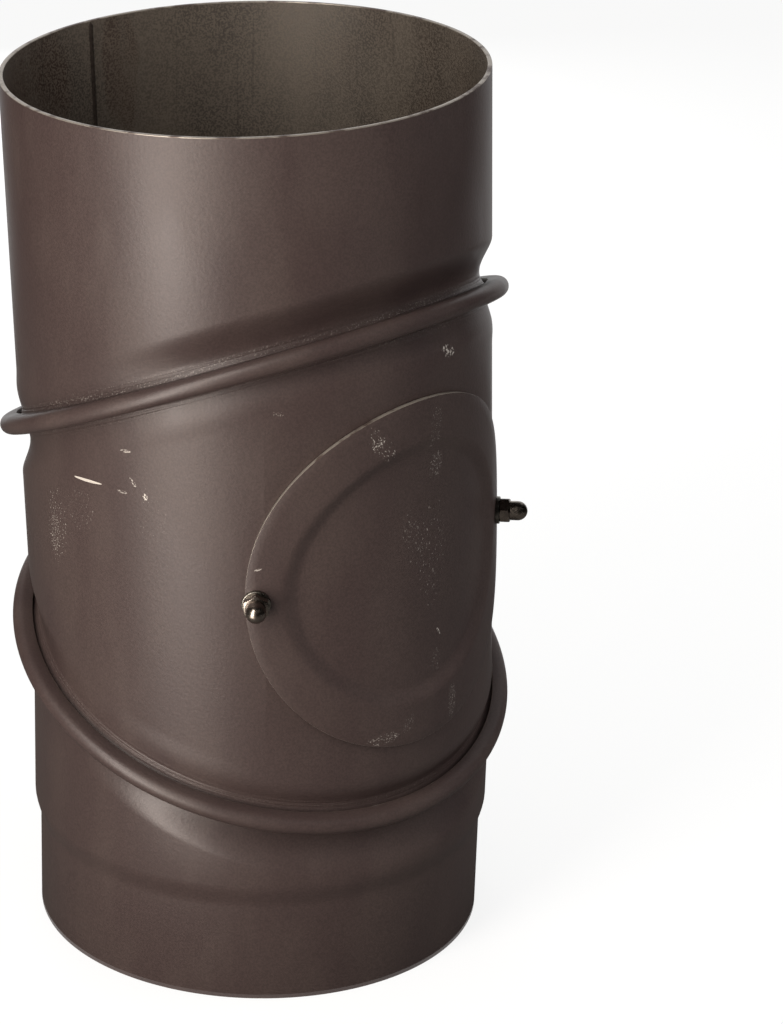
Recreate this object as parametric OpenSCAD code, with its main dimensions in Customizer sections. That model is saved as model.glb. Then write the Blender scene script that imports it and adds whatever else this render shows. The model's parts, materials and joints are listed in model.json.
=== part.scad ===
// Adjustable stove pipe elbow: three sheet steel sections that swivel on two
// slanted beaded joints, with a round cleaning cover on the outside of the bend.
// Millimetres. The origin is the centre of the lower pipe end and +Z runs up the
// bottom section. The cleaning cover faces -Y.

/* [Pipe] */
// Clear inside diameter of the pipe
pipe_bore = 200; // [150:1:250]
// Thickness of the sheet steel
wall = 2; // [1.5:0.1:2.5]

/* [Sections] */
// Height of the bottom section, from its open end to the centre of its joint
bottom_length = 124; // [118:1:220]
// Length of the middle section, between the centres of its joints
middle_length = 138.5; // [136:0.5:220]
// Length of the top section, from the centre of its joint to its open end
top_length = 128; // [100:1:240]

/* [Swivel joints] */
// Slant of each joint, a quarter of the elbow's largest bend
cut_angle = 22.5; // [16:0.5:22.5]
// How far the middle section stands turned on the bottom one
lower_turn = 8.5; // [-180:0.5:180]
// How far the top section stands turned on the middle one
upper_turn = 0; // [-180:0.5:180]
// Distance from the joint over which the pipe is drawn in to the round neck
neck_length = 22; // [18:0.5:22]

/* [Beads] */
// Thickness of the rolled bead, across the joint
bead_height = 8; // [7:0.2:9]
// How far the bead stands out from the neck
bead_reach = 11; // [10:0.5:14]
// Open gap between the bead's lip and the neck that turns inside it
lip_gap = 3; // [2:0.2:4]
// Running clearance under the flange that turns in the bead
flange_clearance = 0.3; // [0.2:0.05:0.6]
// Inside radius of the bend where the sheet turns outward
bend_radius = 1; // [0.6:0.1:1.4]

/* [Spigot] */
// Clearance all round between the reduced lower end and the pipe that it plugs into
spigot_play = 0.5; // [0.3:0.1:1.5]
// Length of the reduced lower end
spigot_length = 44; // [30:1:46]
// Length of the shoulder between the reduced end and the full pipe
shoulder_length = 12; // [8:0.5:12]

/* [Cleaning cover] */
// Diameter of the round cover, measured flat before it is rolled
cover_d = 155; // [120:1:155]
// Thickness of the cover's sheet
cover_wall = 2; // [1.5:0.1:2.5]
// Diameter of the pressed centre, at the foot of its step
panel_d = 106; // [80:1:106]
// Width of the pressed step
step_width = 8; // [6:0.5:9]
// Depth of the pressed centre below the rim
panel_depth = 3; // [1.5:0.1:3.5]
// Gap between the cover's rim and the pipe that it lies on
cover_gap = 0.3; // [0.2:0.05:0.5]
// Clearance between the pressed centre and the cleaning hole that it sinks into
hole_play = 2; // [1:0.5:4]

/* [Fasteners] */
// Diameter of the threaded studs
stud_d = 6; // [5:0.5:6]
// Length of the studs beyond the pipe's surface
stud_length = 11; // [10:0.5:11.5]
// Diameter of the weld collar at the foot of a stud
collar_d = 7.5; // [7:0.5:8]
// Height of the weld collar above the pipe
collar_height = 0.8; // [0.5:0.1:1.2]
// Distance from the cover's edge in to the stud's centre line
stud_inset = 4.5; // [4:0.5:6]
// Clearance all round between a weld collar and the open notch in the cover's edge
notch_play = 0.45; // [0.3:0.05:0.7]
// Outside diameter of a washer
washer_d = 12; // [11:0.5:13]
// Thickness of a washer
washer_wall = 1.6; // [1:0.1:1.8]
// Clearance all round between a stud and a washer's hole
washer_play = 0.2; // [0.1:0.05:0.4]
// Width of a nut across its flats
nut_flats = 10; // [9:0.5:10.5]
// Height of a nut's hexagon
hex_height = 4.4; // [4:0.2:5]
// Diameter of a nut's dome
dome_d = 8.4; // [8.2:0.1:8.8]
// Whole length of a nut
nut_length = 12; // [11.6:0.2:13]
// Play between a stud and a nut's thread
thread_play = 0.05; // [0.02:0.01:0.1]

/* [Hidden] */
$fn = 96;
// Facets round the drawn-in necks and the cover, and bands along a neck
neck_sides = 72;
neck_bands = 6;
cover_sides = 60;
// Steps along the arc of a bend, a bead or a shoulder
arc_steps = 8;
// Insets that keep a faceted neck within the round faces that it meets
outer_inset = 0.15;
inner_inset = 0.03;
// Length by which a shape runs on past what it cuts or into what it joins
cut_over = 1;
// Straight wall between a socket and the short side of the neck under it
socket_margin = 2;

pipe_r = pipe_bore / 2 + wall;
bore_r = pipe_bore / 2;
spigot_r = bore_r - spigot_play;
shoulder_top = spigot_length + shoulder_length;
bead_r = pipe_r + bead_reach - bead_height / 2;
fold_r = bead_height / 2;
lip_r = pipe_r + lip_gap;
flange_low = -fold_r + wall + flange_clearance;
collar_z = fold_r + bend_radius + cut_over;
socket_foot = pipe_r * tan(cut_angle) + neck_length / cos(cut_angle) + socket_margin;
cover_in_r = pipe_r + cover_gap;
cover_out_r = cover_in_r + cover_wall;
cover_r = cover_d / 2;
cover_height = middle_length / 2;
step_foot_r = panel_d / 2;
step_head_r = step_foot_r + step_width;
hole_r = step_head_r + hole_play;
notch_w = collar_d + 2 * notch_play;
stud_angle = (cover_r - stud_inset) / cover_in_r * 180 / PI;
stud_end_r = pipe_r + stud_length;
nut_seat_r = cover_out_r + washer_wall;
dome_r = dome_d / 2;
thread_r = stud_d / 2 + thread_play;
thread_depth = stud_end_r - nut_seat_r + 2 * thread_play;
hex_r = nut_flats / 2 / cos(30);
steel = "#6b5d57";
plated = "#b9b6b0";

// Points of an arc in a flat outline
function arc(cx, cy, r, from, to, steps = arc_steps) =
    [for (i = [0:steps]) let (a = from + (to - from) * i / steps)
        [cx + r * cos(a), cy + r * sin(a)]];

// Smooth rise from 0 to 1
function ease(t) = let (u = min(max(t, 0), 1)) u * u * (3 - 2 * u);

// Radius of a pipe of radius r that is cut by a plane h above its slanted joint,
// measured from the joint's own axis in the direction psi; side is 1 where the
// pipe leans towards the joint's +Y and -1 where it leans away
function slant_r(r, psi, h, side) =
    let (s = side * sin(cut_angle) * sin(psi), c = cos(cut_angle),
         rest = r * r - pow(h * sin(cut_angle), 2))
    (h * s * c + sqrt(pow(h * s * c, 2) + (1 - s * s) * rest)) / (1 - s * s);

// Radius of the neck, which is round at the joint and follows the pipe further off
function neck_r(r, psi, h, side) =
    let (w = ease((abs(h) - collar_z) / (neck_length - collar_z)))
    (1 - w) * r + w * slant_r(r, psi, h, side);

// Frame of the middle section, whose origin is the centre of the lower joint
module on_lower_joint() {
    translate([0, 0, bottom_length]) rotate([cut_angle, 0, 0]) rotate([0, 0, lower_turn])
        rotate([-cut_angle, 0, 0]) children();
}

// Frame of the top section, whose origin is the centre of the upper joint
module on_upper_joint() {
    on_lower_joint() translate([0, 0, middle_length]) rotate([-cut_angle, 0, 0])
        rotate([0, 0, upper_turn]) rotate([cut_angle, 0, 0]) children();
}

// Point of the pipe's wall that lies level with a height in the pipe's own frame,
// on the same line of the wall as p; both points are in the joint's frame
function level_point(p, height, side) =
    let (t = side * cut_angle, y = p[1] * cos(t) - p[2] * sin(t))
    [p[0], y * cos(t) + height * sin(t), height * cos(t) - y * sin(t)];

// Pipe drawn in from its cylinder to the round neck: dir is 1 above the joint. Where
// level is not 0, the wall runs on from the neck to a level ring at that height
module neck(side, dir, level = 0) {
    heights = [for (k = [0:neck_bands])
        dir * (collar_z + (neck_length - collar_z) * k / neck_bands)];
    spread = 1 / cos(180 / neck_sides);
    function ring(r, h, scaled, inset) = [for (i = [0:neck_sides - 1])
        let (psi = 360 * i / neck_sides, rim = (neck_r(r, psi, h, side) + inset) * scaled)
        [rim * cos(psi), rim * sin(psi), h]];
    function wall_rings(r, scaled, inset) = concat(
        [for (h = heights) each ring(r, h, scaled, inset)],
        level == 0 ? [] : [for (p = ring(r, heights[neck_bands], scaled, inset))
            level_point(p, level, side)]);
    outer = wall_rings(pipe_r, 1, -outer_inset);
    inner = wall_rings(bore_r, spread, inner_inset);
    n = neck_sides;
    start = len(outer);
    last = start - n;
    bands = last / n;
    quads = concat(
        [for (k = [0:bands - 1]) for (i = [0:n - 1]) let (j = (i + 1) % n)
            [k * n + i, k * n + j, (k + 1) * n + j, (k + 1) * n + i]],
        [for (k = [0:bands - 1]) for (i = [0:n - 1]) let (j = (i + 1) % n)
            [start + k * n + j, start + k * n + i,
             start + (k + 1) * n + i, start + (k + 1) * n + j]],
        [for (i = [0:n - 1]) let (j = (i + 1) % n) [start + i, start + j, j, i]],
        [for (i = [0:n - 1]) let (j = (i + 1) % n)
            [last + i, last + j, start + last + j, start + last + i]]);
    faces = [for (q = quads) each dir > 0
        ? [[q[0], q[2], q[1]], [q[0], q[3], q[2]]]
        : [[q[0], q[1], q[2]], [q[0], q[2], q[3]]]];
    polyhedron(points = concat(outer, inner), faces = faces);
}

// Bead of the lower piece: the sheet turns out, round and back in over the flange
module bead() {
    turn_r = pipe_r + bend_radius;
    turn_z = -fold_r - bend_radius;
    rotate_extrude() polygon(concat(
        [[pipe_r, -collar_z], [bore_r, -collar_z]],
        reverse_arc(turn_r, turn_z, bend_radius + wall, 90, 180),
        arc(bead_r, 0, fold_r - wall, -90, 90),
        [[lip_r, fold_r - wall], [lip_r, fold_r]],
        reverse_arc(bead_r, 0, fold_r, -90, 90),
        arc(turn_r, turn_z, bend_radius, 90, 180)));
}

// Same arc, listed from its far end
function reverse_arc(cx, cy, r, from, to) =
    let (p = arc(cx, cy, r, from, to)) [for (i = [len(p) - 1:-1:0]) p[i]];

// Flange of the upper piece, which rests and turns inside the bead
module flange() {
    turn_r = pipe_r + bend_radius;
    turn_z = flange_low + wall + bend_radius;
    rotate_extrude() polygon(concat(
        [[bore_r, collar_z]],
        arc(turn_r, turn_z, bend_radius + wall, 180, 270),
        [[bead_r, flange_low], [bead_r, flange_low + wall]],
        reverse_arc(turn_r, turn_z, bend_radius, 180, 270),
        [[pipe_r, collar_z]]));
}

// Everything on the far side of a slanted joint, from depth h on
module beyond(tilt, dir) {
    size = 4 * pipe_r;
    rotate([tilt, 0, 0])
        translate([-size / 2, -size / 2, dir > 0 ? neck_length : -neck_length - size])
            cube(size);
}

// Straight round wall of the pipe between two heights
module tube(from, to) {
    difference() {
        translate([0, 0, from]) cylinder(r = pipe_r, h = to - from);
        translate([0, 0, from - cut_over])
            cylinder(r = bore_r, h = to - from + 2 * cut_over);
    }
}

// Lowest part of the bottom section: the reduced end and its shoulder
module spigot() {
    rise = [for (i = [0:arc_steps]) let (t = i / arc_steps)
        [spigot_r + (pipe_r - spigot_r) * ease(t), spigot_length + shoulder_length * t]];
    rotate_extrude() polygon(concat(
        [[spigot_r - wall, 0], [spigot_r, 0]], rise,
        [for (i = [arc_steps:-1:0]) [rise[i][0] - wall, rise[i][1]]]));
}

module bottom_section() {
    color(steel) {
        spigot();
        intersection() {
            tube(shoulder_top, bottom_length + pipe_r);
            translate([0, 0, bottom_length]) beyond(cut_angle, -1);
        }
        translate([0, 0, bottom_length]) rotate([cut_angle, 0, 0]) {
            neck(1, -1);
            bead();
        }
    }
}

module middle_section() {
    color(steel) on_lower_joint() {
        difference() {
            intersection() {
                tube(-pipe_r, middle_length + pipe_r);
                beyond(cut_angle, 1);
                translate([0, 0, middle_length]) beyond(-cut_angle, -1);
            }
            translate([0, 0, cover_height]) rotate([90, 0, 0])
                cylinder(r = hole_r, h = 2 * pipe_r);
        }
        rotate([cut_angle, 0, 0]) {
            flange();
            neck(1, 1);
        }
        translate([0, 0, middle_length]) rotate([-cut_angle, 0, 0]) {
            neck(-1, -1);
            bead();
        }
    }
}

module top_section() {
    color(steel) on_upper_joint() {
        tube(socket_foot, top_length);
        rotate([-cut_angle, 0, 0]) {
            flange();
            neck(-1, 1, socket_foot + cut_over);
        }
    }
}

// Round blank rolled to the pipe, with its centre pressed in
module cover_plate() {
    rim_r = (step_head_r + cover_r) / 2;
    // Rings as [radius, 1 where the outline is that of the rolled flat blank]
    rings = concat([[step_foot_r / 3, 0], [step_foot_r * 2 / 3, 0]],
        [for (i = [0:4]) [step_foot_r + step_width * i / 4, 0]],
        [[rim_r, 1], [cover_r, 1]]);
    function turn(ring, t) = ring[1] == 1
        ? ring[0] * cos(t) / cover_in_r * 180 / PI
        : asin(ring[0] * cos(t) / cover_in_r);
    function depth(ring) = panel_depth * (1 - ease((ring[0] - step_foot_r) / step_width));
    function place(r, a, z) = [r * sin(a), -r * cos(a), cover_height + z];
    function sheet(base) = concat([place(base - panel_depth, 0, 0)],
        [for (ring = rings) for (i = [0:cover_sides - 1]) let (t = 360 * i / cover_sides)
            place(base - depth(ring), turn(ring, t), ring[0] * sin(t))]);
    n = cover_sides;
    m = len(rings);
    back = 1 + m * n;
    edge = 1 + (m - 1) * n;
    fan = [for (i = [0:n - 1]) let (j = (i + 1) % n)
        each [[0, 1 + j, 1 + i], [back, back + 1 + i, back + 1 + j]]];
    bands = [for (k = [0:m - 2]) for (i = [0:n - 1])
        let (j = (i + 1) % n, a = 1 + k * n + i, b = 1 + k * n + j, c = b + n, d = a + n)
        each [[a, b, c], [a, c, d], [back + a, back + c, back + b], [back + a, back + d, back + c]]];
    rim = [for (i = [0:n - 1]) let (a = edge + i, b = edge + (i + 1) % n)
        each [[a, b, back + b], [a, back + b, back + a]]];
    polyhedron(points = concat(sheet(cover_out_r), sheet(cover_in_r)),
        faces = concat(fan, bands, rim));
}

// Frame of a stud: +Z points out along it and the origin is on the pipe's axis
module at_stud(side) {
    translate([0, 0, cover_height]) rotate([0, 0, side * stud_angle]) rotate([90, 0, 0])
        children();
}

module cleaning_cover() {
    color(steel) on_lower_joint() difference() {
        cover_plate();
        for (side = [-1, 1]) at_stud(side) {
            translate([0, 0, pipe_r - panel_depth]) cylinder(d = notch_w, h = stud_length);
            translate([side > 0 ? 0 : -notch_w, -notch_w / 2, pipe_r - panel_depth])
                cube([notch_w, notch_w, stud_length]);
        }
    }
}

module stud(side) {
    color(plated) on_lower_joint() difference() {
        at_stud(side) {
            cylinder(d = stud_d, h = stud_end_r);
            cylinder(d = collar_d, h = pipe_r + collar_height);
        }
        cylinder(r = pipe_r, h = middle_length);
    }
}

module washer(side) {
    color(plated) on_lower_joint() at_stud(side) translate([0, 0, cover_out_r])
        difference() {
            cylinder(d = washer_d, h = washer_wall);
            translate([0, 0, -cut_over]) cylinder(d = stud_d + 2 * washer_play, h = 3 * cut_over);
        }
}

// Hexagon with a turned chamfer, a round dome and a blind threaded hole
module cap_nut(side) {
    color(plated) on_lower_joint() at_stud(side) translate([0, 0, nut_seat_r])
        difference() {
            union() {
                intersection() {
                    cylinder(r = hex_r, h = hex_height, $fn = 6);
                    cylinder(r1 = hex_r + hex_height / 2, r2 = nut_flats / 2, h = hex_height);
                }
                cylinder(r = dome_r, h = nut_length - dome_r);
                translate([0, 0, nut_length - dome_r]) sphere(r = dome_r);
            }
            translate([0, 0, -cut_over]) cylinder(r = thread_r, h = thread_depth + cut_over);
        }
}

module left_stud() { stud(-1); }
module right_stud() { stud(1); }
module left_washer() { washer(-1); }
module right_washer() { washer(1); }
module left_cap_nut() { cap_nut(-1); }
module right_cap_nut() { cap_nut(1); }

bottom_section();
middle_section();
top_section();
cleaning_cover();
left_stud();
right_stud();
left_washer();
right_washer();
left_cap_nut();
right_cap_nut();
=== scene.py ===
"""Looks of the adjustable stove pipe elbow: three beaded sheet sections, cover and fasteners."""

import json
import logging
import math
from abc import ABC, abstractmethod
from collections.abc import Callable, Sequence
from dataclasses import dataclass, field
from enum import Enum

import bpy
from mathutils import Matrix, Vector


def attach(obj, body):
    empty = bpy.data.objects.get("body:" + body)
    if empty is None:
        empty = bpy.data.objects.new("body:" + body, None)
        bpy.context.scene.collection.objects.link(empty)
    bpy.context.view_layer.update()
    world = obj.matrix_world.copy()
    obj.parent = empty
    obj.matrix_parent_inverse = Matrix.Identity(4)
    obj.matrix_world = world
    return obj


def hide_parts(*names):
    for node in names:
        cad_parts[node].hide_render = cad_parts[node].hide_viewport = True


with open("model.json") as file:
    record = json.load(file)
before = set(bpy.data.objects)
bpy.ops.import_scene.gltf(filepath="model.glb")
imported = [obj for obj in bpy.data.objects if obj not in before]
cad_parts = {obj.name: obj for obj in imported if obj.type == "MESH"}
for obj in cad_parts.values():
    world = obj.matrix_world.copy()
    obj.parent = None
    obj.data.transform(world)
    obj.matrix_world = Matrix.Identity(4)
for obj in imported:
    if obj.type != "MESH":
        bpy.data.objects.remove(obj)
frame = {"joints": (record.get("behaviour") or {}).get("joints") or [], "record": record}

LOG = logging.getLogger("elbow")
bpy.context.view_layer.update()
MM = 0.001
SMOOTH_ANGLE = math.radians(35)
CUT_EDGE_ANGLE = math.radians(60)

Value = bpy.types.NodeSocket | float | Sequence[float]


class Slot(Enum):
    """Material slots of the part's record."""

    PAINT = "stove_paint"
    ZINC = "zinc_steel"
    NICKEL = "nickel_plate"


class Body(Enum):
    """Moving bodies of the part."""

    BOTTOM = "bottom"
    MIDDLE = "middle"
    TOP = "top"
    LEFT_WASHER = "left_washer"
    RIGHT_WASHER = "right_washer"
    LEFT_NUT = "left_nut"
    RIGHT_NUT = "right_nut"


class Side(Enum):
    """The two sides of the cleaning cover, seen from its front."""

    LEFT = "left"
    RIGHT = "right"


class Course(Enum):
    """Which way a sheet runs from a slanted joint along the pipe."""

    UP = 1
    DOWN = -1


class SheetFace(Enum):
    """Material slots of a sheet, in the order in which its wall is given thickness."""

    OUTSIDE = 0
    INSIDE = 1
    CUT_EDGE = 2


# Sizes and places


@dataclass(frozen=True)
class PipeSizes:
    """Sizes of the pipe and of its beaded joints, in metres."""

    outer_r: float = 102 * MM
    wall: float = 2 * MM
    neck_length: float = 22 * MM
    collar_z: float = 6 * MM
    fold_r: float = 4 * MM
    bead_r: float = 109 * MM
    lip_r: float = 105 * MM
    bend_r: float = 1 * MM
    flare_r: float = 6 * MM
    flange_play: float = 0.3 * MM
    edge_round: float = 0.35 * MM
    sides: int = 180
    neck_steps: int = 12
    bend_steps: int = 5
    flare_steps: int = 9
    bead_steps: int = 20

    @property
    def flange_top(self) -> float:
        """Height of the flange's upper face over the joint."""
        return -self.fold_r + 2 * self.wall + self.flange_play


@dataclass(frozen=True)
class Ring:
    """One round or oval station of a sheet, drawn about the pipe's own axis.

    The plane of the ring is tipped about X, and half_y lies in that plane.
    """

    centre: Vector
    half_x: float
    half_y: float
    tip: float = 0.0


@dataclass(frozen=True)
class Place:
    """Frame of a sub-assembly: an origin with its X and Z directions."""

    origin: Vector
    x_axis: Vector
    z_axis: Vector

    def matrix(self) -> Matrix:
        """Returns the matrix from this frame to the part's frame."""
        z_axis = self.z_axis.normalized()
        x_axis = (self.x_axis - self.x_axis.dot(z_axis) * z_axis).normalized()
        turn = Matrix((x_axis, z_axis.cross(x_axis), z_axis)).transposed().to_4x4()
        return Matrix.Translation(self.origin) @ turn


@dataclass(frozen=True)
class ElbowFrame:
    """Places of the elbow's sections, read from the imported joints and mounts."""

    lower_centre: Vector
    lower_normal: Vector
    upper_centre: Vector
    upper_normal: Vector
    rim_centre: Vector

    @classmethod
    def from_record(cls) -> "ElbowFrame":
        """Returns the places of the two swivels and of the socket's rim."""
        joints = {joint["name"]: joint for joint in frame["joints"]}
        mounts = {mount["name"]: mount for mount in frame["record"]["mounts"]}
        lower, upper = (
            (Vector(joints[name]["pos_m"]), Vector(joints[name]["axis"]).normalized())
            for name in ("lower_swivel", "upper_swivel")
        )
        return cls(*lower, *upper, Vector(mounts["socket"]["pos_m"]))

    @property
    def cut(self) -> float:
        """Angle between a joint's axis and the pipe's."""
        return self.lower_normal.angle(Vector((0, 0, 1)))

    @property
    def middle_length(self) -> float:
        """Length of the middle section along its axis, from joint to joint."""
        return (self.upper_centre - self.lower_centre).length

    @property
    def top_length(self) -> float:
        """Length of the top section along its axis, from the joint to the rim."""
        return (self.rim_centre - self.upper_centre).length

    @property
    def bottom_place(self) -> Place:
        """Frame of the bottom section, which is the part's own."""
        return Place(Vector(), Vector((1, 0, 0)), Vector((0, 0, 1)))

    @property
    def middle_place(self) -> Place:
        """Frame of the middle section, on the lower joint."""
        axis = self.upper_centre - self.lower_centre
        return Place(self.lower_centre, axis.cross(self.lower_normal), axis)

    @property
    def top_place(self) -> Place:
        """Frame of the top section, on the upper joint."""
        axis = self.rim_centre - self.upper_centre
        return Place(self.upper_centre, self.upper_normal.cross(axis), axis)


# Modelling by hand


def deselect_everything() -> None:
    """Leaves no object selected, because an operator acts on all that is."""
    bpy.ops.object.select_all(action="DESELECT")


def make_active(obj: bpy.types.Object) -> None:
    """Selects one object alone and makes it the active one."""
    deselect_everything()
    obj.select_set(True)
    bpy.context.view_layer.objects.active = obj


def name_piece(name: str) -> bpy.types.Object:
    """Gives the object that was just added, and its mesh, a name and returns it."""
    obj = bpy.context.object
    obj.name = obj.data.name = name
    return obj


def tip_selection(angle: float, centre: Vector) -> None:
    """Turns the selection about X through a centre, by the right-hand rule.

    Args:
        angle: The turn in radians. Without a window the operator turns the other way.
        centre: The point that stays put.
    """
    bpy.ops.transform.rotate(
        value=-angle, orient_axis="X", orient_type="GLOBAL", center_override=tuple(centre)
    )


def draw_rings(name: str, rings: Sequence[Ring], sides: int) -> bpy.types.Object:
    """Draws a skin by extruding one loop of edges from ring to ring.

    Args:
        name: Name of the new object.
        rings: Stations of the skin, from its first edge to its last.
        sides: Number of edges round each ring.

    Returns:
        The skin, open at both ends.
    """
    deselect_everything()
    here = rings[0]
    bpy.ops.mesh.primitive_circle_add(vertices=sides, radius=1.0, location=(0, 0, 0))
    skin = name_piece(name)
    bpy.ops.object.mode_set(mode="EDIT")
    bpy.ops.mesh.select_mode(type="EDGE")
    bpy.ops.mesh.select_all(action="SELECT")
    bpy.ops.transform.resize(value=(here.half_x, here.half_y, 1), center_override=(0, 0, 0))
    tip_selection(here.tip, Vector())
    bpy.ops.transform.translate(value=here.centre)
    for ring in rings[1:]:
        bpy.ops.mesh.extrude_edges_indiv()
        tip_selection(-here.tip, here.centre)
        stretch = (ring.half_x / here.half_x, ring.half_y / here.half_y, 1)
        bpy.ops.transform.resize(value=stretch, center_override=tuple(here.centre))
        tip_selection(ring.tip, here.centre)
        bpy.ops.transform.translate(value=ring.centre - here.centre)
        here = ring
    bpy.ops.object.mode_set(mode="OBJECT")
    return skin


def draw_turned(name: str, profile: Sequence[tuple[float, float]], sides: int) -> bpy.types.Object:
    """Draws a solid that is turned about Z, with both its ends closed.

    Args:
        name: Name of the new object.
        profile: Radius and height of each station, from the lowest to the highest.
        sides: Number of faces round the solid.

    Returns:
        The closed solid.
    """
    solid = draw_rings(name, [level_ring(radius, height) for radius, height in profile], sides)
    bpy.ops.object.mode_set(mode="EDIT")
    bpy.ops.mesh.select_mode(type="EDGE")
    bpy.ops.mesh.edge_face_add()
    bpy.ops.mesh.select_all(action="DESELECT")
    bpy.ops.mesh.select_non_manifold()
    bpy.ops.mesh.edge_face_add()
    face_outwards()
    bpy.ops.object.mode_set(mode="OBJECT")
    return solid


def face_outwards() -> None:
    """Turns the normals of the closed mesh in edit mode outwards."""
    bpy.ops.mesh.select_all(action="SELECT")
    bpy.ops.mesh.normals_make_consistent(inside=False)


def face_away_from_axis(skin: bpy.types.Object) -> None:
    """Turns an open skin's normals away from the pipe's axis, judged at an upright face."""
    wall = min(skin.data.polygons, key=lambda face: abs(face.normal.z))
    if wall.normal.dot(Vector((wall.center.x, wall.center.y, 0))) > 0:
        return
    make_active(skin)
    bpy.ops.object.mode_set(mode="EDIT")
    bpy.ops.mesh.select_all(action="SELECT")
    bpy.ops.mesh.flip_normals()
    bpy.ops.object.mode_set(mode="OBJECT")


def apply_modifier(obj: bpy.types.Object, kind: str, **settings: object) -> None:
    """Adds one modifier, sets it and applies it.

    Args:
        obj: The object to change.
        kind: Blender's name for the modifier's type.
        **settings: Values for the modifier's own settings.
    """
    make_active(obj)
    modifier = obj.modifiers.new(kind.title(), kind)
    for key, value in settings.items():
        setattr(modifier, key, value)
    bpy.ops.object.modifier_apply(modifier=modifier.name)


def round_edges(sheet: bpy.types.Object, width: float) -> None:
    """Rounds the sharp edges of a sheet, which take the finish of its cut edge.

    Args:
        sheet: The sheet to change.
        width: Width of the rounding, in metres.
    """
    apply_modifier(
        sheet, "BEVEL", width=width, segments=2, limit_method="ANGLE", angle_limit=CUT_EDGE_ANGLE,
        material=SheetFace.CUT_EDGE.value,
    )


def combine(obj: bpy.types.Object, tool: bpy.types.Object, operation: str) -> None:
    """Joins, cuts or intersects an object with a tool, and removes the tool.

    Args:
        obj: The object to change.
        tool: The other solid.
        operation: UNION, DIFFERENCE or INTERSECT.
    """
    apply_modifier(obj, "BOOLEAN", object=tool, operation=operation, solver="EXACT")
    bpy.data.objects.remove(tool)


def put_in_place(obj: bpy.types.Object, place: Matrix) -> None:
    """Moves a mesh to its place and leaves its object at the origin."""
    obj.matrix_world = place
    make_active(obj)
    bpy.ops.object.transform_apply(location=True, rotation=True, scale=True)


def mount(
    obj: bpy.types.Object, place: Matrix, body: Body, slot: Slot, replaced: Sequence[str] = ()
) -> None:
    """Puts a finished piece in its place, shades it smooth and hangs it on its body.

    Args:
        obj: The piece, drawn in its own frame.
        place: Matrix from the piece's frame to the part's.
        body: The body that it moves with.
        slot: The slot of the record that its finish belongs to. Not used.
        replaced: CAD nodes that it stands for.
    """
    put_in_place(obj, place)
    make_active(obj)
    bpy.ops.object.shade_smooth_by_angle(angle=SMOOTH_ANGLE)
    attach(obj, body.value)
    if replaced:
        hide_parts(*replaced)
    LOG.info("%s: %d faces on %s", obj.name, len(obj.data.polygons), body.value)


def arc(start: float, end: float, steps: int) -> list[float]:
    """Returns the angles, in radians, that divide an arc given in degrees."""
    return [math.radians(start + (end - start) * step / steps) for step in range(steps + 1)]


def ease(share: float) -> float:
    """Returns a smooth rise from 0 to 1 as the share goes from 0 to 1."""
    share = min(max(share, 0.0), 1.0)
    return share * share * (3 - 2 * share)


def level_ring(radius: float, height: float) -> Ring:
    """Returns a round ring square to the pipe's axis."""
    return Ring(Vector((0, 0, height)), radius, radius)


# Materials


def linear(hex_colour: str) -> tuple[float, float, float, float]:
    """Turns an sRGB hex colour into linear light, with full alpha."""
    parts = [int(hex_colour[i:i + 2], 16) / 255 for i in (1, 3, 5)]
    light = [c / 12.92 if c <= 0.04045 else ((c + 0.055) / 1.055) ** 2.4 for c in parts]
    return (*light, 1.0)


def add_node(
    tree: bpy.types.NodeTree, kind: str, inputs: dict[str | int, Value] | None = None, **settings: object
) -> bpy.types.Node:
    """Adds one node with its settings, values and links.

    Args:
        tree: The node tree to add it to.
        kind: Blender's type name of the node, after its common start.
        inputs: What each input gets, by its name or number: a socket to link, or a value.
        **settings: Values for the node's own settings.

    Returns:
        The new node.
    """
    node = tree.nodes.new(f"ShaderNode{kind}")
    for key, value in settings.items():
        setattr(node, key, value)
    for key, value in (inputs or {}).items():
        if isinstance(value, bpy.types.NodeSocket):
            tree.links.new(value, node.inputs[key])
        else:
            node.inputs[key].default_value = value
    return node


class MixPort(Enum):
    """Numbers of a colour mix's sockets, whose names it shares with its other kinds."""

    FIRST = 6
    SECOND = 7
    RESULT = 2


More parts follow.
